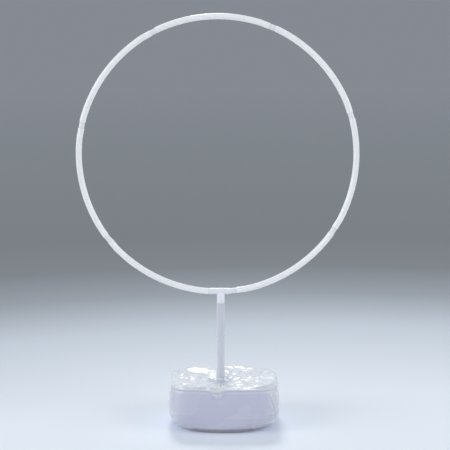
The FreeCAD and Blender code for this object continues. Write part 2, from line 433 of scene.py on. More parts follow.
def plastic(name, tint, roughness, sheen, narrow=False, coat=0.25):
    """Milky moulded plastic, with painted shade where its wall is thin at the neck."""
    made, tree, shader = new_material(name)
    surface = add(tree, "ShaderNodeGroup", node_tree=moulded_group()).outputs
    base = mixed(tree, surface["Mottle"], dimmed(tint, 0.965), tint)
    # Painted shade: the tube's exposed neck is drawn darker
    if narrow:
        base = mixed(tree, point_value(tree, "narrow"), base, dimmed(tint, 0.86))
    tree.links.new(base, shader.inputs["Base Color"])
    rough = ranged(tree, surface["Rub"], at_low=roughness, at_high=roughness + 0.12)
    tree.links.new(rough, shader.inputs["Roughness"])
    bumped(tree, shader, surface["Height"], strength=0.01, distance=0.0001)
    settings = {
        "Subsurface Weight": 0.35,
        "Subsurface Radius": (1.0, 1.0, 1.0),
        "Subsurface Scale": 0.004,
        "Sheen Weight": sheen,
        "Sheen Roughness": 0.35,
        "Coat Weight": coat,
        "Coat Roughness": 0.12,
    }
    constants(shader, settings)
    return made


def film_material(sizes):
    """Wrinkled milky film, paler along its folds, with painted light on its top and ends and
    painted shade where it turns under.
    """
    made, tree, shader = new_material("bag_film")
    place = object_place(tree)
    cloud = noise_at(tree, place, 14.0, 5.0)
    base = mixed(tree, cloud, dimmed(sizes.film_colour, 0.95), sizes.film_colour)
    # The "fold" mark pales the film along folds, with painted light on its top and ends; the
    # "under" mark darkens it with painted shade
    for mark, tint in (("fold", sizes.fold_and_top_light_colour), ("under", sizes.painted_under_shade)):
        base = mixed(tree, point_value(tree, mark), base, tint)
    tree.links.new(base, shader.inputs["Base Color"])
    cells = {"Vector": place, "Scale": 55.0, "Randomness": 1.0}
    crease = add(tree, "ShaderNodeTexVoronoi", cells, feature="DISTANCE_TO_EDGE")
    ridge = ranged(tree, crease.outputs["Distance"], high=0.12, at_low=1.0, at_high=0.0)
    height = maths(tree, "MULTIPLY_ADD", noise_at(tree, place, 160.0, 4.0), 0.5, ridge)
    bumped(tree, shader, height, strength=0.16, distance=0.0006)
    rough = ranged(tree, cloud, at_low=0.20, at_high=0.34)
    tree.links.new(rough, shader.inputs["Roughness"])
    settings = {
        "Subsurface Weight": 0.4,
        "Subsurface Radius": (0.8, 0.85, 1.0),
        "Subsurface Scale": 0.012,
        "Sheen Weight": 0.25,
        "Sheen Roughness": 0.4,
        "Coat Weight": 0.35,
        "Coat Roughness": 0.12,
    }
    constants(shader, settings)
    return made


def water_material(sizes):
    """Clear water, tinted by the film round it."""
    made, tree, shader = new_material("water")
    swirl = noise_at(tree, object_place(tree), 9.0, 2.0)
    base = mixed(tree, swirl, dimmed(sizes.water_colour, 0.94), sizes.water_colour)
    tree.links.new(base, shader.inputs["Base Color"])
    constants(shader, {"Roughness": 0.05, "IOR": 1.33, "Transmission Weight": 0.6})
    return made


def wire_material(sizes):
    """The soft coat of the tie's wire."""
    made, tree, shader = new_material("tie_coat")
    scales = {"Mottle scale": 400.0, "Grain scale": 2500.0}
    surface = add(tree, "ShaderNodeGroup", scales, node_tree=moulded_group()).outputs
    base = mixed(tree, surface["Mottle"], dimmed(sizes.tie_colour, 0.85), sizes.tie_colour)
    tree.links.new(base, shader.inputs["Base Color"])
    bumped(tree, shader, surface["Height"], strength=0.3, distance=0.0002)
    constants(shader, {"Roughness": 0.45, "Sheen Weight": 0.2})
    return made


# Tubes that follow a path


def tube_tree():
    """Geometry nodes that put a round moulded tube, with a lip and a neck, on a path."""
    name = "Tube on a path"
    if name in bpy.data.node_groups:
        return bpy.data.node_groups[name]
    tree = bpy.data.node_groups.new(name, "GeometryNodeTree")
    for socket, kind, default in (
        ("Path", "Geometry", None),
        ("Radius", "Float", 0.0081),
        ("Lip", "Float", 0.0),
        ("Lip length", "Float", 0.0035),
        ("Neck radius", "Float", 0.00725),
        ("Neck length", "Float", 0.0),
        ("Swage", "Float", 0.0025),
        ("Round", "Float", 0.0005),
        ("Sides", "Int", 40),
        ("Caps", "Bool", False),
        ("Material", "Material", None),
    ):
        group_socket(tree, socket, "INPUT", default, kind)
    group_socket(tree, "Tube", "OUTPUT", kind="Geometry")
    given = tree.nodes.new("NodeGroupInput").outputs
    curve = add(tree, "GeometryNodeMeshToCurve", {"Mesh": given["Path"]}).outputs["Curve"]
    along = add(tree, "GeometryNodeSplineParameter").outputs["Length"]
    total = add(tree, "GeometryNodeSplineLength").outputs["Length"]
    left = maths(tree, "SUBTRACT", total, along)
    soft = {"interpolation_type": "SMOOTHSTEP"}
    lip_end = maths(tree, "MULTIPLY", given["Lip length"], 1.4)
    lip = ranged(tree, along, given["Lip length"], lip_end, given["Lip"], 0.0, **soft)
    edge = maths(tree, "MULTIPLY", given["Round"], -0.6)
    rim = ranged(tree, along, 0.0, given["Round"], edge, 0.0, **soft)
    tip = ranged(tree, left, 0.0, given["Round"], edge, 0.0, **soft)
    neck_end = maths(tree, "ADD", given["Neck length"], given["Swage"])
    wide = ranged(tree, left, given["Neck length"], neck_end, 0.0, 1.0, **soft)
    step = maths(tree, "SUBTRACT", given["Radius"], given["Neck radius"])
    body = maths(tree, "ADD", given["Neck radius"], maths(tree, "MULTIPLY", step, wide))
    radius = maths(tree, "ADD", maths(tree, "ADD", body, lip), maths(tree, "ADD", rim, tip))
    circle = {"Resolution": given["Sides"], "Radius": 1.0}
    ring = add(tree, "GeometryNodeCurvePrimitiveCircle", circle).outputs["Curve"]
    captured = add(tree, "GeometryNodeCaptureAttribute", {"Geometry": curve})
    captured.capture_items.new("FLOAT", "Wide")
    tree.links.new(wide, captured.inputs["Wide"])
    sweep = {
        "Curve": captured.outputs["Geometry"],
        "Profile Curve": ring,
        "Scale": radius,
        "Fill Caps": given["Caps"],
    }
    swept = add(tree, "GeometryNodeCurveToMesh", sweep).outputs["Mesh"]
    # Marks the neck, which the plastic darkens with painted shade
    narrow = maths(tree, "SUBTRACT", 1.0, captured.outputs["Wide"])
    marks = {"Geometry": swept, "Name": "narrow", "Value": narrow}
    marked = add(
        tree, "GeometryNodeStoreNamedAttribute", marks, data_type="FLOAT", domain="POINT"
    ).outputs["Geometry"]
    smooth = add(tree, "GeometryNodeSetShadeSmooth", {"Geometry": marked}).outputs["Geometry"]
    real = add(tree, "GeometryNodeRealizeInstances", {"Geometry": smooth}).outputs["Geometry"]
    paints = {"Geometry": real, "Material": given["Material"]}
    painted = add(tree, "GeometryNodeSetMaterial", paints).outputs["Geometry"]
    tree.links.new(painted, tree.nodes.new("NodeGroupOutput").inputs["Tube"])
    return tree


def tube_on(name, points, values):
    """A tube object on a path of points, its tree's inputs set by name."""
    edges = [(i, i + 1) for i in range(len(points) - 1)]
    piece = link_mesh(name, points, (), edges)
    modifier = piece.modifiers.new("Tube", "NODES")
    modifier.node_group = tube_tree()
    for item in modifier.node_group.interface.items_tree:
        if item.in_out == "INPUT" and item.name in values:
            modifier[item.identifier] = values[item.name]
    return baked(piece)


def hollow(piece, wall):
    """Gives an open shell its wall, on the inside."""
    solidify = piece.modifiers.new("Wall", "SOLIDIFY")
    solidify.thickness = wall
    solidify.offset = -1.0
    return baked(piece)


# The hoop's line


def inward(along):
    """The direction to the hoop's inside, for a direction of travel round it."""
    return Vector((-along.z, 0, along.x))


def on_hoop(sizes, angle):
    """Point and direction of travel on the hoop's circle, in radians round from the bottom."""
    outward = Vector((math.sin(angle), 0, -math.cos(angle)))
    centre = Vector((-sizes.offset, 0, hoop_centre(sizes)))
    return centre + outward * sizes.radius, Vector((math.cos(angle), 0, math.sin(angle)))


def joint_half(sizes):
    """Half of the straight stretch at a joint."""
    return (sizes.neck + sizes.socket) / 2


def first_joint(sizes):
    """Angle of the first joint, beside the tee's shoulder."""
    return math.asin((sizes.offset + sizes.shoulder + joint_half(sizes)) / sizes.radius)


def barrel_height(sizes):
    """Height of the tee's barrel."""
    return POLE_RIM + sizes.stub + sizes.tee_radius


def hoop_centre(sizes):
    """Height of the hoop's centre."""
    turn = first_joint(sizes)
    rise = sizes.radius * math.cos(turn) + joint_half(sizes) * math.sin(turn)
    return barrel_height(sizes) + rise


def arc_points(centre, first, turn, count):
    """Points on an arc in the hoop's plane, without its first."""
    arm = first - centre
    points = []
    for step in range(1, count + 1):
        angle = turn * step / count
        across = inward(arm)
        points.append(centre + arm * math.cos(angle) + across * math.sin(angle))
    return points


def turn_between(first, second):
    """Angle from one direction to another, going round as the tubes do."""
    cross = first.x * second.z - first.z * second.x
    return math.atan2(cross, first.dot(second))


def straight(start, end, steps):
    """Points from just after start to end, evenly spaced."""
    return [start.lerp(end, step / steps) for step in range(1, steps + 1)]


def tube_line(sizes, start, start_along, end, end_along):
    """A tube's middle line: socket, short bend, long bend, short bend, neck and insert."""
    socket_end = start + start_along * sizes.socket
    near = socket_end + inward(start_along) * sizes.short_bend
    far = end + inward(end_along) * sizes.short_bend
    reach = sizes.long_bend - sizes.short_bend
    gap = far - near
    lean = math.sqrt(reach**2 - (gap.length / 2) ** 2)
    centre = (near + far) / 2 + inward(gap).normalized() * lean
    first = centre + (near - centre).normalized() * sizes.long_bend
    last = centre + (far - centre).normalized() * sizes.long_bend
    tip = end + end_along * (sizes.neck + sizes.insert)
    points = [start]
    points += straight(start, socket_end, 44)
    points += arc_points(near, socket_end, turn_between(socket_end - near, first - near), 6)
    points += arc_points(centre, first, turn_between(first - centre, last - centre), 56)
    points += arc_points(far, last, turn_between(last - far, end - far), 6)
    points += straight(end, tip, 60)
    return points


def hoop_lines(sizes):
    """The middle line of every tube, from the tee round to the tee."""
    count = len(TUBE_NAMES)
    half = joint_half(sizes)
    first = first_joint(sizes)
    last = math.asin((sizes.last_shoulder - sizes.offset) / sizes.radius)
    pitch = (TURN - last - first + half / sizes.radius) / count
    lines = []
    for number in range(count):
        joint, along = on_hoop(sizes, first + number * pitch)
        start = joint + along * (sizes.neck - half)
        if number < count - 1:
            joint, end_along = on_hoop(sizes, first + (number + 1) * pitch)
            end = joint - end_along * half
        else:
            end_along = Vector((1, 0, 0))
            end = Vector((-sizes.last_shoulder, 0, barrel_height(sizes)))
        lines.append(tube_line(sizes, start, along, end, end_along))
    return lines


# Turned pieces


def turned(name, profile, sides=72):
    """A closed ring-shaped piece from a closed profile of (radius, height) points."""
    count = len(profile)
    verts = []
    for side in range(sides):
        angle = TURN * side / sides
        verts += [(r * math.cos(angle), r * math.sin(angle), z) for r, z in profile]
    faces = []
    for side in range(sides):
        here, following = side * count, (side + 1) % sides * count
        for i in range(count):
            j = (i + 1) % count
            faces.append((here + i, following + i, following + j, here + j))
    return link_mesh(name, verts, faces)


def lip_points(outer, inner, height, lip, up):
    """A rounded rim from the outside to the inside of a wall, at the end of a tube."""
    quarters = (0.0, 0.25, 0.5, 0.75, 1.0)
    points = []
    for edge, inset, shares in ((outer, lip, quarters), (inner, -lip, quarters[::-1])):
        for share in shares:
            turn = math.pi / 2 * share
            radius = edge - inset + inset * math.cos(turn)
            points.append((radius, height - up * lip * (1 - math.sin(turn))))
    return points


# The bag


def lumps(points, size, seed):
    """Signed noise at each of a grid of points, with lumps of a given size."""
    shift = Vector((seed, seed * 1.7, seed * 0.3))
    flat = [noise.noise(Vector(p) / size + shift) for p in points.reshape(-1, 3)]
    return np.array(flat).reshape(points.shape[:-1])


def bump_at(distance, width):
    """One at a line, falling to nothing on both sides of it."""
    return np.exp(-((distance / width) ** 2))


def rise_between(values, low, high):
    """From nothing at low to one at high, smoothly."""
    share = np.clip((values - low) / (high - low), 0.0, 1.0)
    return share * share * (3 - 2 * share)


def column_angles(sizes):
    """Directions of the film's columns, closer together at the front."""
    turn = np.arange(sizes.columns) * TURN / sizes.columns
    angles = turn - 0.4 * np.sin(turn + math.pi / 2)
    return (angles + math.pi) % TURN - math.pi


def box_reach(angles, half_x, half_y, squareness):
    """Distance from the middle of a rounded rectangle to its edge, at each angle."""
    x = np.abs(np.cos(angles)) / half_x
    y = np.abs(np.sin(angles)) / half_y
    return (x**squareness + y**squareness) ** (-1 / squareness)


def bag_levels(sizes):
    """Levels from the foot to the neck: (kind, share, inset in X, in Y, height, squareness)."""
    side = sizes.side_inset
    foot = sizes.foot_inset
    levels = []
    for step in range(1, FOOT_LEVELS + 1):
        levels.append(("foot", step / FOOT_LEVELS, side + foot, foot, 0.0, FOOT_SQUARENESS))
    tuck = 0.20 * foot
    for step in range(1, CREASE_LEVELS + 1):
        share = step / CREASE_LEVELS
        inset = foot + (tuck - foot) * share
        height = sizes.foot_edge * share**1.15
        squareness = FOOT_SQUARENESS + 0.7 * share
        levels.append(("side", 1.0, side + inset, inset, height, squareness))
    for step in range(1, LOW_LEVELS + 1):
        share = step / LOW_LEVELS
        inset = tuck * (1 - share) ** 2
        height = sizes.foot_edge + (sizes.foot_rise - sizes.foot_edge) * share
        levels.append(("side", 1.0, side + inset, inset, height, 2.9 + 3.1 * share))
    top = BAG_HIGH.z
    edge_foot = top - sizes.top_drop
    lean = sizes.top_lean
    draw = sizes.top_draw
    for step in range(1, HIGH_LEVELS + 1):
        share = step / HIGH_LEVELS
        height = sizes.foot_rise + (edge_foot - sizes.foot_rise) * share
        inset_x, inset_y = side + lean * share**2, draw * share**2
        levels.append(("side", 1.0, inset_x, inset_y, height, WALL_SQUARENESS))
    for step in range(1, EDGE_LEVELS + 1):
        turn = math.pi / 2 * step / EDGE_LEVELS
        inset = sizes.top_inset * (1 - math.cos(turn))
        height = top - sizes.top_drop * (1 - math.sin(turn))
        inset_x, inset_y = side + lean + inset, draw + inset
        levels.append(("side", 1.0, inset_x, inset_y, height, WALL_SQUARENESS))
    inset_x, inset_y = side + lean + sizes.top_inset, draw + sizes.top_inset
    for step in range(1, TOP_LEVELS + 1):
        share = 1 - step / TOP_LEVELS
        levels.append(("top", share, inset_x, inset_y, top, WALL_SQUARENESS))
    return levels


def level_column(sizes, item):
    """One item of every level, as a column."""
    return np.array([level[item] for level in bag_levels(sizes)])[:, None]


def is_top(sizes):
    """Which levels are the bag's top, as a column."""
    return level_column(sizes, 0) == "top"


def plan_reach(angles, inset_x, inset_y, squareness):
    """Distance from the bag's middle to its outline; its back is rounder than its front."""
    half_x = (BAG_HIGH.x - BAG_LOW.x) / 2
    half_y = (BAG_HIGH.y - BAG_LOW.y) / 2
    square = 2.0 + (squareness - 2.0) * (0.70 - 0.30 * np.sin(angles))
    return box_reach(angles, half_x - inset_x, half_y - inset_y, square)


def bag_surface(sizes):
    """Points of the film before it is creased, level by level from the foot to the neck."""
    middle = np.array((BAG_MIDDLE, 0.0, 0.0))
    angles = column_angles(sizes)
    back = (1 + np.sin(angles)) / 2
    slump = back * (sizes.top_fall + sizes.corner_slump * np.abs(np.sin(2 * angles)) ** 3)
    slump -= (1 - back) * sizes.corner_rise * np.cos(angles) ** 2
    left = sizes.left_draw / BAG_HIGH.x * np.clip(-np.cos(angles), 0, 1) ** 2
    lifted = LIFT_SHARE * bump_at(np.degrees(angles) - LIFT_ANGLE, LIFT_SPREAD)
    along = np.stack((np.cos(angles), np.sin(angles), np.zeros_like(angles)), axis=1)
    rows = []
    for kind, share, inset_x, inset_y, height, squareness in bag_levels(sizes):
        reach = plan_reach(angles, inset_x, inset_y, squareness)
        reach = reach * (1 - lifted * max(0.0, 1 - height / LIFT_HEIGHT))
        reach = reach * (1 - left * max(0.0, 1 - height / 0.065) ** 1.4)
        edge = middle + along * reach[:, None]
        edge[:, 2] = height - slump * max(0.0, height / BAG_HIGH.z) ** 3
        if kind == "foot":
            edge = middle + (edge - middle) * share
        elif kind == "top":
            rise = edge[:, 2] - NECK_FOOT
            edge = along * sizes.neck_radius * (1 - share) + edge * share
            edge[:, 2] = NECK_FOOT + rise * share**0.55
        rows.append(edge)
    return np.array(rows)


def outward(grid):
    """Outward directions at a grid of points."""
    across = np.roll(grid, -1, axis=1) - np.roll(grid, 1, axis=1)
    up = np.gradient(grid, axis=0)
    normal = np.cross(across, up)
    return normal / (np.linalg.norm(normal, axis=2, keepdims=True) + 1e-12)


def beside_end_fold(angles, height):
    """Distance from the fold at the right end of the front, towards the end."""
    high_angle, high, slant, reach = math.radians(-41.5), 0.098, 1.78, 0.18
    return (angles - high_angle - (high - height) * slant) * reach


def flap_place(sizes, x, z):
    """Where a point is on the front flap: how far to its side, and how far up from its tip."""
    reach = np.clip((z - sizes.flap_tip) / (BAG_HIGH.z - sizes.flap_tip), 0, 1.2)
    half = sizes.flap_width * reach**0.8 + 0.0005
    side = np.abs(x - sizes.flap_side - 0.004 * (1 - reach)) / half
    return side, reach


def tents(phase, sharpness):
    """Folds that rise and fall once for each whole number of a phase."""
    return (1 - np.abs(2 * (phase % 1) - 1)) ** sharpness


def axes(grid):
    """The X, Y and Z of a grid of points."""
    return grid[:, :, 0], grid[:, :, 1], grid[:, :, 2]


def bunched(x, y):
    """Where the film is gathered between the neck and the front flap."""
    along = rise_between(-y, 0.010, 0.022) * (1 - rise_between(-y, 0.095, 0.118))
    middle = -0.004 * rise_between(-y, 0.02, 0.10)
    return along * bump_at(x - middle, 0.016 + 0.08 * np.clip(-y, 0, 0.12))


def pleated(sizes, angles, share):
    """Height of the main and the fine pleats round the neck."""
    ring = np.stack((np.cos(angles) * 0.9, np.sin(angles) * 0.9, share + 0 * angles), axis=2)
    wander = lumps(ring, 1.0, 2.0)
    pleat = angles / TURN * sizes.pleats
    main = tents(pleat + 0.9 * wander, 1.6)
    fine = tents(pleat * 2.6 + 2.2 * wander, 1.4)
    strength = 0.6 + 0.5 * lumps(ring, 0.6, 5.0)
    rise = main * strength * np.exp(-share * 2.2) + 0.35 * fine * np.exp(-share * 4.5)
    return sizes.pleat_height * rise * np.clip(share * 6, 0, 1)


def welted(sizes, grid, angles, share):
    """Height of the puffed film behind the front edge, on both sides of the flap."""
    x = grid[:, :, 0]
    welt = bump_at(1 - share - 0.20, 0.14) * rise_between(np.abs(x + 0.004), 0.015, 0.045)
    welt *= rise_between(-np.sin(angles), 0.30, 0.65)
    return sizes.welt * welt * (0.9 + 0.8 * lumps(grid, 0.045, 4.4))


def walls_folded(sizes, grid, angles):
    """Height of the walls' folds: a seam under the rim, the flap, the end fold and two creases."""
    x, y, z = axes(grid)
    rim = z - BAG_HIGH.z
    seam = 0.0012 * bump_at(rim + 0.001, 0.002) - 0.0014 * bump_at(rim + 0.0052, 0.0022)
    side, reach = flap_place(sizes, x, z)
    tongue = (1 - rise_between(side, 0.75, 1.35)) * rise_between(reach, 0.0, 0.25)
    hem = bump_at(side - 0.85, 0.20) + 0.7 * bump_at(side - 0.40, 0.16)
    flap = 0.0018 * tongue + 0.0016 * hem * rise_between(reach, 0.02, 0.2)
    away = beside_end_fold(angles, z)
    fold = 0.0026 * bump_at(away, 0.0026) - 0.0030 * bump_at(away - 0.010, 0.007)
    fold -= 0.0012 * bump_at(away + 0.006, 0.003)
    ends = rise_between(z, *END_FOLD_FOOT) * (1 - rise_between(z, 0.095, 0.108))
    front = rise_between(-y, 0.09, 0.118)
    push = ~is_top(sizes) * (seam + front * flap) + ends * fold
    uneven = front * (0.7 + 0.6 * lumps(grid, 0.05, 8.8))
    for height, slant, start in WALL_CREASES:
        tilt = z - height - slant * (x - 0.03)
        groove = bump_at(tilt, 0.0014) - 0.4 * bump_at(tilt + 0.0035, 0.0025)
        push -= 0.0006 * groove * uneven * rise_between(x, start, start + 0.06)
    return push


def folded(sizes, grid):
    """The film with its large folds: pleats, gathers, welt, flap, end fold and its knob."""
    share = level_column(sizes, 1)
    x, y, z = axes(grid)
    angles = column_angles(sizes)[None, :] + 0 * x
    comb = np.degrees(angles) / GATHER_DEGREES + 0.8 * lumps(grid, 0.02, 6.6)
    gathers = GATHER_HEIGHT * bunched(x, y) * tents(comb, 1.3)
    over = pleated(sizes, angles, share) + gathers + welted(sizes, grid, angles, share)
    push = is_top(sizes) * over + walls_folded(sizes, grid, angles)
    moved = grid + outward(grid) * push[:, :, None]
    dip = bump_at(x - sizes.flap_side, 0.018) * rise_between(-y, 0.05, 0.115)
    moved[:, :, 2] -= 0.0060 * dip * rise_between(z, 0.082, 0.112)
    knob = bump_at(np.degrees(angles) - KNOB_ANGLE, KNOB_SPREAD) * bump_at(z - KNOB_HEIGHT, 0.008)
    moved += np.array(KNOB_PULL) * knob[:, :, None]
    return moved


def facets(points, waves, slope, seed):
    """Flat facets between straight creases, as stiff film crumples."""
    draw = np.random.default_rng(seed)
    height = np.zeros(points.shape[:-1])
    for number, wave in enumerate(waves):
        way = draw.normal(size=3)
        way /= np.linalg.norm(way)
        wander = 0.35 * lumps(points, wave * 1.4, seed + number)
        phase = points @ way / wave + draw.random() + wander
        tent = np.abs(2 * (phase % 1) - 1)
        here = np.clip(0.60 + 1.5 * lumps(points, wave * 1.1, seed + 20 + number), 0.2, 1)
        height += slope * wave * tent * here
    return height


def creased(sizes, grid):
    """The film with its small creases, which are sharp on the top and faint on the walls."""
    x, y, z = axes(grid)
    low = rise_between(z, 0.0, 0.03)
    over = np.where(is_top(sizes), np.clip(level_column(sizes, 1) * 5, 0.25, 1.0), 0.0) + 0 * low
    crumple = facets(grid, TOP_WAVES, slope=0.052, seed=11)
    streaks = facets(grid * np.array((0.30, 1.0, 0.6)), STREAK_WAVES, slope=0.11, seed=31)
    welt = rise_between(-y, 0.045, 0.075) * (0.35 + 0.65 * rise_between(np.abs(x), 0.02, 0.04))
    crumple += welt * streaks + bunched(x, y) * facets(grid, GATHER_WAVES, slope=0.12, seed=47)
    sides = facets(grid * np.array((0.5, 0.5, 1.0)), WALL_WAVES, slope=0.019, seed=5)
    ends = rise_between(np.abs(x - BAG_MIDDLE), 0.085, 0.125)
    soft = 0.0012 * lumps(grid, 0.075, 3.1)
    side, reach = flap_place(sizes, x, z)
    flap = (1 - rise_between(side, 0.9, 1.2)) * rise_between(-y, *FRONT_WALL) * (reach > 0)
    sides += 1.6 * flap * facets(grid, FLAP_WAVES, slope=0.07, seed=53)
    push = over * crumple + (1 - over) * (sides * (0.45 + 1.3 * ends) + soft) * low
    moved = grid + outward(grid) * (push * sizes.crumple)[:, :, None]
    moved[:, :, 2] = np.maximum(moved[:, :, 2], 0.0)
    return moved


def pale_folds_and_painted_light(sizes, grid):
    """How white the film is: more where it stands out in a fold, is gathered or hangs double, and a
    little less in the hollows; its top, its ends and the band beside the end fold are paler with
    painted light.
    """
    around = (np.roll(grid, 1, axis=1) + np.roll(grid, -1, axis=1)) / 2
    along = around.copy()
    along[1:-1] = (grid[2:] + grid[:-2]) / 2
    stand = np.einsum("ijk,ijk->ij", grid * 2 - around - along, outward(grid))
    x, y, z = axes(grid)
    away = beside_end_fold(column_angles(sizes)[None, :] + 0 * x, z)
    # Painted light: the bright band beside the end fold
    lit_strip = rise_between(away, 0.0, 0.003) * (1 - rise_between(away, 0.04, 0.07))
    lit_strip *= rise_between(z, *END_FOLD_FOOT)
    side, reach = flap_place(sizes, x, z)
    hem = bump_at(side - 0.85, 0.22) + 0.8 * bump_at(side - 0.40, 0.15)
    flap = (1 - rise_between(side, 0.9, 1.2)) * 0.12 + hem
    flap *= rise_between(-y, *FRONT_WALL) * (reach > 0)
    # Painted light: the top and the curve into it, and both ends, paler than the walls
    over = np.arange(len(grid))[:, None] >= np.argmax(is_top(sizes)) - EDGE_LEVELS
    ends = rise_between(np.abs(x - BAG_MIDDLE), 0.11, 0.14)
    neck = (np.hypot(x, y) < sizes.frill_radius + 0.003) * rise_between(z, 0.10, 0.11)
    white = 0.85 * over + 0.22 * ends + 0.45 * lit_strip + 0.65 * flap + 0.9 * neck
    white += bunched(x, y) * rise_between(z, 0.09, 0.10)
    return np.clip(white + np.clip(stand / 0.0008, -0.25, 1.0), 0, 1)


def under_shade_mask(sizes, grid):
    """Where the film turns under the front, for painted shade: one there, nothing elsewhere."""
    x, y, z = axes(grid)
    ends = 1 - rise_between(np.abs(x - 0.005), 0.070, 0.115)
    crease = sizes.foot_edge - 0.003 * (1 - ends)
    low = 1 - rise_between(z, crease - 0.0008, crease + 0.0008)
    return low * ends * rise_between(-y, 0.03, 0.06)


def slack_film(sizes, grid):
    """The cut of the film: as the bag, but with too much film round its top."""
    cut = grid.copy()
    levels = bag_levels(sizes)
    first = int(np.argmax(is_top(sizes)))
    edge = grid[first - 1]
    middle = np.array((BAG_MIDDLE, 0.0))
    flat = edge[:, :2] - middle
    for i in range(first, len(levels)):
        gone = 1 - levels[i][1]
        radial = np.linalg.norm(grid[i, :, :2] - edge[:, :2], axis=1)
        cut[i, :, :2] = middle + flat * (1 - gone * sizes.slack)
        drawn = np.linalg.norm(flat, axis=1) * gone * sizes.slack
        cut[i, :, 2] = edge[:, 2] + np.sqrt(np.maximum(radial**2 - drawn**2, 0.0))
    return cut


def carried(coarse, shape, first):
    """The movement of every second row and column, spread to those between."""
    fine = np.zeros(shape)
    fine[first::2, ::2] = coarse
    fine[first::2, 1::2] = (coarse + np.roll(coarse, -1, axis=1)) / 2
    fine[first + 1 : -1 : 2] = (fine[first:-2:2] + fine[first + 2 :: 2]) / 2
    return fine


def settled(sizes, grid):
    """Lets the slack film on top of the water buckle as cloth, its walls and neck held."""
    scene = bpy.context.scene
    first = (len(grid) - 1) % 2
    coarse = grid[first::2, ::2]
    columns = coarse.shape[1]
    piece = link_mesh("slack", *stacked(coarse, 0.0))
    piece.shape_key_add(name="Basis")
    cut = piece.shape_key_add(name="Cut")
    points = slack_film(sizes, grid)[first::2, ::2].reshape(-1, 3)
    cut.data.foreach_set("co", np.vstack(((BAG_MIDDLE, 0.0, 0.0), points)).ravel())
    held = piece.vertex_groups.new(name="held")
    held.add([0], 1.0, "REPLACE")
    levels = bag_levels(sizes)[first::2]
    for i, level in enumerate(levels):
        if level[0] != "top" or i == len(levels) - 1:
            held.add(range(1 + i * columns, 1 + (i + 1) * columns), 1.0, "REPLACE")
    cloth = piece.modifiers.new("Cloth", "CLOTH")
    film = cloth.settings
    film.quality = 7
    film.mass = 0.05
    film.tension_stiffness = 40
    film.compression_stiffness = 40
    film.shear_stiffness = 10
    film.bending_stiffness = sizes.film_bending
    film.vertex_group_mass = "held"
    film.rest_shape_key = cut
    film.use_pressure = True
    film.uniform_pressure_force = sizes.film_pressure
    film.effector_weights.gravity = 0.0
    cloth.collision_settings.use_collision = False
    cloth.point_cache.frame_start = 1
    cloth.point_cache.frame_end = SETTLING_FRAMES
    for number in range(1, SETTLING_FRAMES + 1):
        scene.frame_set(number)
    baked(piece)
    scene.frame_set(1)
    found = np.zeros(len(piece.data.vertices) * 3)
    piece.data.vertices.foreach_get("co", found)
    bpy.data.objects.remove(piece)
    fine = carried(found.reshape(-1, 3)[1:].reshape(coarse.shape) - coarse, grid.shape, first)
    fine *= np.clip((1 - level_column(sizes, 1)[:, :, None]) / RIM_SHARE, 0, 1)
    fine *= 0.65 - 0.35 * np.sin(column_angles(sizes))[None, :, None]
    size = np.linalg.norm(fine, axis=2, keepdims=True)
    return grid + fine * np.minimum(1.0, sizes.swell / (size + 1e-9))


def neck_rows(sizes):
    """The gathered neck and its frill, as further levels above the tied film."""
    angles = column_angles(sizes)
    frill_top = LOWER_RIM + 0.0035
    made = []

    def level(reach, height):
        made.append(np.stack((reach * np.cos(angles), reach * np.sin(angles), height), axis=1))

    gather = np.abs(np.sin(angles * 19 + 0.7)) * 0.0009
    for share in np.linspace(0.2, 1.0, 5):
        height = NECK_FOOT + (NECK_TOP - NECK_FOOT) * share + 0 * angles
        level(sizes.neck_radius - 0.0005 + gather, height)
    wave = np.sin(angles * 11 + 1.1) + 0.5 * np.sin(angles * 19 + 2.0)
    for share in np.linspace(1 / 8, 1.0, 8):
        reach = sizes.neck_radius + (sizes.frill_radius - sizes.neck_radius) * share**1.3
        height = NECK_TOP + (frill_top - NECK_TOP) * share
        level(reach + 0.0011 * wave * share, height + 0.0006 * np.sin(angles * 7 + 0.4) * share)
    return np.array(made)


def stacked(grid, foot):
    """Corners and faces of levels on each other, closed below round a point at the foot."""
    rows, columns = grid.shape[:2]
    verts = [(BAG_MIDDLE, 0.0, foot), *map(tuple, grid.reshape(-1, 3))]
    faces = [(0, 1 + (j + 1) % columns, 1 + j) for j in range(columns)]
    for i in range(rows - 1):
        here, over = 1 + i * columns, 1 + (i + 1) * columns
        for j in range(columns):
            k = (j + 1) % columns
            faces.append((here + j, here + k, over + k, over + j))
    return verts, faces


def fill_water(sizes, levels):
    """The water: all that the film holds, apart from the plate and the lower pole."""
    gap = sizes.film + 0.0008
    columns = sizes.columns
    inner = levels - outward(levels) * gap
    inner[:FOOT_LEVELS, :, 2] = gap
    inner[:, :, 2] = np.maximum(inner[:, :, 2], gap)
    verts, faces = stacked(inner, gap)
    top = len(verts)
    last = top - columns
    verts.append((0.0, 0.0, float(inner[-1, :, 2].mean())))
    faces += [(last + j, last + (j + 1) % columns, top) for j in range(columns)]
    piece = link_mesh("water_fill", verts, faces)
    for name in ("base_plate", "lower_pole"):
        cutter = copy_of(name, "cutter")
        welded(cutter)
        baked(cutter)
        cut = piece.modifiers.new("Cut", "BOOLEAN")
        cut.object = cutter
        cut.operation = "DIFFERENCE"
        cut.solver = "EXACT"
        baked(piece)
        bpy.data.objects.remove(cutter)
    paint(piece, water_material(sizes))
    seat(piece, "base", "water", "water")


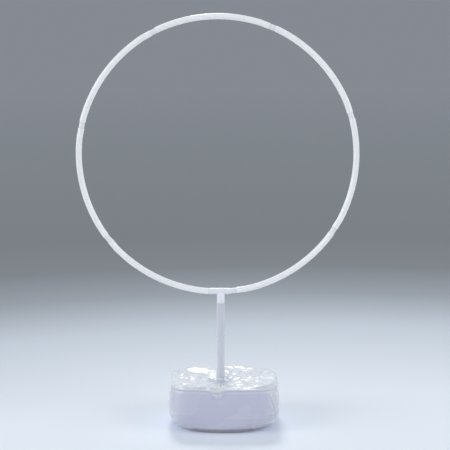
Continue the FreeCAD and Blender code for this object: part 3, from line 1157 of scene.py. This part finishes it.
class HOOP_OT_tubes(bpy.types.Operator):
    """Makes the hoop's tubes"""

    bl_idname = "hoopstand.tubes"
    bl_label = "Hoop tubes"

    def execute(self, context):
        sizes = context.scene.hoop_sizes
        material = plastic("hoop_plastic", sizes.plastic, 0.26, 0.5, narrow=True)
        for name, line in zip(TUBE_NAMES, hoop_lines(sizes)):
            values = {
                "Radius": sizes.tube_radius,
                "Lip": sizes.lip,
                "Neck radius": sizes.neck_radius,
                "Neck length": sizes.neck + sizes.insert - 0.0025,
                "Sides": sizes.sides,
                "Material": material,
            }
            piece = tube_on(name.replace("hoop_tube", "moulded_tube"), line, values)
            hollow(piece, sizes.wall)
            seat(piece, "hoop", "hoop_plastic", name)
        return {"FINISHED"}


class HOOP_OT_tee(bpy.types.Operator):
    """Makes the tee, with the rounded corners of a moulding"""

    bl_idname = "hoopstand.tee"
    bl_label = "Tee"

    def execute(self, context):
        sizes = context.scene.hoop_sizes
        piece = copy_of("ring_tee", "moulded_tee")
        welded(piece)
        remesh = piece.modifiers.new("Remesh", "REMESH")
        remesh.mode = "VOXEL"
        remesh.voxel_size = 0.0005
        smooth = piece.modifiers.new("Smooth", "SMOOTH")
        smooth.factor = 0.5
        smooth.iterations = 6
        baked(piece)
        for polygon in piece.data.polygons:
            polygon.use_smooth = True
        paint(piece, plastic("tee_plastic", sizes.tee_plastic, 0.32, 0.6))
        seat(piece, "hoop", "tee_plastic", "ring_tee")
        return {"FINISHED"}


class HOOP_OT_poles(bpy.types.Operator):
    """Makes the pole and the lower pole, and finishes the plate"""

    bl_idname = "hoopstand.poles"
    bl_label = "Poles and plate"

    def execute(self, context):
        sizes = context.scene.pole_sizes
        material = plastic("pole_plastic", sizes.plastic, 0.22, 1.0, coat=0.5)
        lip = sizes.lip
        wall, depth, rib, rib_height, slope = 0.00095, 0.024, 0.0015, 0.002, 0.0002
        low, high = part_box("pole")
        wide = high.x
        bore = wide - wall
        foot = bore - 0.00005
        inner = foot - wall
        shelf = high.z - depth
        profile = lip_points(wide, bore, high.z, lip, 1)
        profile += [(bore, shelf + slope), (bore - rib, shelf), (bore - rib, shelf - rib_height)]
        profile += [(bore - slope, shelf - 0.0022), (inner, LOWER_RIM)]
        profile += lip_points(foot, inner, low.z, lip, -1)[::-1]
        profile += [(foot, LOWER_RIM - 0.0001), (wide, shelf)]
        piece = turned("pole_tube", profile[::-1])
        paint(piece, material)
        seat(piece, "pole", "pole_plastic", "pole")
        low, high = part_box("lower_pole")
        shelf = high.z - depth
        profile = lip_points(wide, bore, high.z, lip, 1)
        profile += [(bore, shelf + 0.0001), (bore - rib, shelf), (bore - rib, shelf - rib_height)]
        profile += [(bore, shelf - 0.0022)]
        profile += lip_points(wide, bore, low.z, lip, -1)[::-1]
        piece = turned("lower_pole_tube", profile[::-1])
        paint(piece, material)
        seat(piece, "base", "pole_plastic", "lower_pole")
        plate = frame["nodes"]["base_plate"]
        made = plastic("plate_plastic", sizes.plate, 0.5, 0.1)
        if not plate.material_slots:
            raise RuntimeError("the plate has no material slot")
        for slot in plate.material_slots:
            slot.material = made
        return {"FINISHED"}


class HOOP_OT_bag(bpy.types.Operator):
    """Makes the filled film bag and the water in it"""

    bl_idname = "hoopstand.bag"
    bl_label = "Bag"

    def execute(self, context):
        sizes = context.scene.bag_sizes
        levels = creased(sizes, settled(sizes, folded(sizes, bag_surface(sizes))))
        surface = np.concatenate((levels, neck_rows(sizes)))
        film = link_mesh("film_bag", *stacked(surface, 0.0))
        # The "under" mark is where painted shade darkens the film
        for name, found in (("fold", pale_folds_and_painted_light(sizes, surface)), ("under", under_shade_mask(sizes, surface))):
            mark = film.data.attributes.new(name, "FLOAT", "POINT")
            mark.data.foreach_set("value", np.append(0.0, found.ravel()).astype(np.float32))
        paint(film, film_material(sizes))
        hollow(film, sizes.film)
        seat(film, "base", "bag_film", "bag")
        fill_water(sizes, levels)
        return {"FINISHED"}


def tie_loops(sizes, height):
    """Two turns of wire round the neck, beginning and ending at its front."""
    loop = sizes.neck_radius + WIRE + WIRE_GAP
    whole_turn = 4 * math.pi + 0.5 - 4 * math.pi / WIRE_STEPS
    line = []
    for step in range(WIRE_STEPS + 1):
        turn = -math.pi / 2 + 0.25 - whole_turn * step / WIRE_STEPS
        wave = 0.0013 * math.sin(turn * 1.5 + 0.6)
        out = loop + 0.0004 * math.cos(turn * 1.5)
        line.append(Vector((out * math.cos(turn), out * math.sin(turn), height + wave)))
    return line


def tie_tail(sizes, height, way, reach):
    """One end of the wire: twisted with the other at first, then away to its own side."""
    twist = WIRE * 1.1
    loop = sizes.neck_radius + WIRE + WIRE_GAP
    tail = []
    for step in range(1, TAIL_STEPS + 1):
        share = step / TAIL_STEPS
        turn = math.pi * 2.5 * min(1.0, share / TAIL_TWIST)
        spread = max(0.0, share - TAIL_TWIST) / (1 - TAIL_TWIST)
        side = way * (twist * math.cos(turn) + reach * spread)
        front = -loop - 0.0015 - 0.007 * share
        up = height + twist * way * math.sin(turn) + 0.0015 * share + 0.003 * spread
        tail.append(Vector((side, front, up)))
    return tail


class HOOP_OT_tie(bpy.types.Operator):
    """Makes the tie round the bag's neck"""

    bl_idname = "hoopstand.tie"
    bl_label = "Tie"

    def execute(self, context):
        sizes = context.scene.bag_sizes
        height = TIE_LOW.z + 0.0025
        short = tie_tail(sizes, height, 1, 0.008)
        long = tie_tail(sizes, height, -1, 0.021)
        values = {
            "Radius": WIRE,
            "Neck radius": WIRE,
            "Sides": 14,
            "Round": 0.0004,
            "Caps": True,
            "Material": wire_material(sizes),
        }
        piece = tube_on("wire_tie", short[::-1] + tie_loops(sizes, height) + long, values)
        seat(piece, "base", "tie_plastic", "neck_tie")
        return {"FINISHED"}


class HOOP_OT_stage(bpy.types.Operator):
    """Makes the floor, the lamps and the camera"""

    bl_idname = "hoopstand.stage"
    bl_label = "Stage"

    def execute(self, context):
        sizes = context.scene.stage_sizes
        context.scene.view_settings.view_transform = "Standard"
        floor_disc(sizes)
        lamps()
        world()
        camera(context, sizes)
        return {"FINISHED"}


def floor_disc(sizes):
    """A level floor with painted light, pale round the stand and grey far behind it."""
    reach = sizes.floor_radius
    turns = [TURN * i / FLOOR_SIDES for i in range(FLOOR_SIDES)]
    ring = [(reach * math.cos(turn), reach * math.sin(turn), 0.0) for turn in turns]
    floor = link_mesh("floor", ring, [tuple(range(FLOOR_SIDES))])
    made, tree, shader = new_material("floor")
    places = {0: object_place(tree), 1: (sizes.light_pool_x, sizes.light_pool_y, 0.0)}
    away = add(tree, "ShaderNodeVectorMath", places, operation="DISTANCE").outputs["Value"]
    far = ranged(tree, away, high=FLOOR_REACH)
    ramp = add(tree, "ShaderNodeValToRGB", {"Fac": far})
    elements = ramp.color_ramp.elements
    while len(elements) < len(FLOOR_PAINTED_LIGHT):
        elements.new(0.5)
    for element, (position, shade) in zip(elements, FLOOR_PAINTED_LIGHT):
        element.position = position
        element.color = (*(srgb_to_linear(part) for part in shade), 1.0)
    shade = mixed(tree, seen_directly(tree), FLOOR_LIGHT, ramp.outputs["Color"])
    tree.links.new(shade, shader.inputs["Base Color"])
    constants(shader, {"Roughness": 0.9, "Specular IOR Level": 0.0})
    paint(floor, made)


def seen_directly(tree):
    """One where the camera, a mirroring or a clear surface sees it, and nothing for its light."""
    path = add(tree, "ShaderNodeLightPath").outputs
    seen = path["Is Camera Ray"]
    for name in ("Is Glossy Ray", "Is Transmission Ray"):
        seen = maths(tree, "MAXIMUM", seen, path[name])
    return seen


def srgb_to_linear(part):
    """A colour part from 0 to 255, as a linear share."""
    value = part / 255
    return value / 12.92 if value <= 0.04045 else ((value + 0.055) / 1.055) ** 2.4


def lamps():
    """Broad soft lamps at both sides, and a high one behind whose glints show on the film."""
    for name, strength, angle, aim in LAMPS:
        lamp = bpy.data.lights.new(name, "SUN")
        lamp.energy = strength
        lamp.angle = math.radians(angle)
        made = bpy.data.objects.new(name, lamp)
        made.location = -3.0 * aim
        made.rotation_euler = aim.to_track_quat("-Z", "Y").to_euler()
        bpy.context.scene.collection.objects.link(made)


def world():
    """An even pale light from all round, and a pale backdrop where it is seen or mirrored."""
    made = bpy.data.worlds.new("studio")
    bpy.context.scene.world = made
    made.use_nodes = True
    tree = made.node_tree
    light = tree.nodes["Background"]
    light.inputs["Color"].default_value = (0.93, 0.965, 1.0, 1.0)
    light.inputs["Strength"].default_value = 0.49
    backdrop = add(tree, "ShaderNodeBackground", {"Color": (0.84, 0.90, 1.0, 1.0), "Strength": 1.0})
    mix = add(tree, "ShaderNodeMixShader", {"Fac": seen_directly(tree)})
    tree.links.new(light.outputs[0], mix.inputs[1])
    tree.links.new(backdrop.outputs[0], mix.inputs[2])
    tree.links.new(mix.outputs[0], tree.nodes["World Output"].inputs["Surface"])


def camera(context, sizes):
    """A long lens in front, looking a little down."""
    data = bpy.data.cameras.new("camera")
    made = bpy.data.objects.new("camera", data)
    context.scene.collection.objects.link(made)
    made.location = (sizes.camera_side, -sizes.camera_distance, sizes.camera_height)
    aim = Vector((sizes.camera_side, 0, sizes.camera_aim)) - made.location
    made.rotation_euler = aim.to_track_quat("-Z", "Y").to_euler()
    data.lens = data.sensor_width * aim.length / sizes.view_width
    data.clip_end = 200.0
    context.scene.camera = made


class HOOP_PT_panel(bpy.types.Panel):
    """Lists the stand's pieces and sizes"""

    bl_idname = "HOOP_PT_panel"
    bl_label = "Hoop stand"
    bl_space_type = "VIEW_3D"
    bl_region_type = "UI"
    bl_category = "Hoop stand"

    def draw(self, context):
        for operator in OPERATORS:
            self.layout.operator(operator.bl_idname)
        for name in GROUPS:
            box = self.layout.box()
            group = getattr(context.scene, name)
            for key in type(group).__annotations__:
                box.prop(group, key)


OPERATORS = (HOOP_OT_tubes, HOOP_OT_tee, HOOP_OT_poles, HOOP_OT_bag, HOOP_OT_tie, HOOP_OT_stage)
GROUPS = {
    "hoop_sizes": HoopSizes,
    "pole_sizes": PoleSizes,
    "bag_sizes": BagSizes,
    "stage_sizes": StageSizes,
}


def register():
    """Registers the classes and puts the sizes on the scene."""
    for made in (*GROUPS.values(), *OPERATORS, HOOP_PT_panel):
        bpy.utils.register_class(made)
    for name, group in GROUPS.items():
        setattr(bpy.types.Scene, name, PointerProperty(type=group))


def unregister():
    """Takes them away again."""
    for name in GROUPS:
        delattr(bpy.types.Scene, name)
    for made in reversed((*GROUPS.values(), *OPERATORS, HOOP_PT_panel)):
        bpy.utils.unregister_class(made)


def main():
    """Builds everything, in order."""
    register()
    bpy.ops.hoopstand.tubes()
    bpy.ops.hoopstand.tee()
    bpy.ops.hoopstand.poles()
    bpy.ops.hoopstand.bag()
    bpy.ops.hoopstand.tie()
    bpy.ops.hoopstand.stage()
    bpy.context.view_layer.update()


if __name__ == "__main__":
    main()
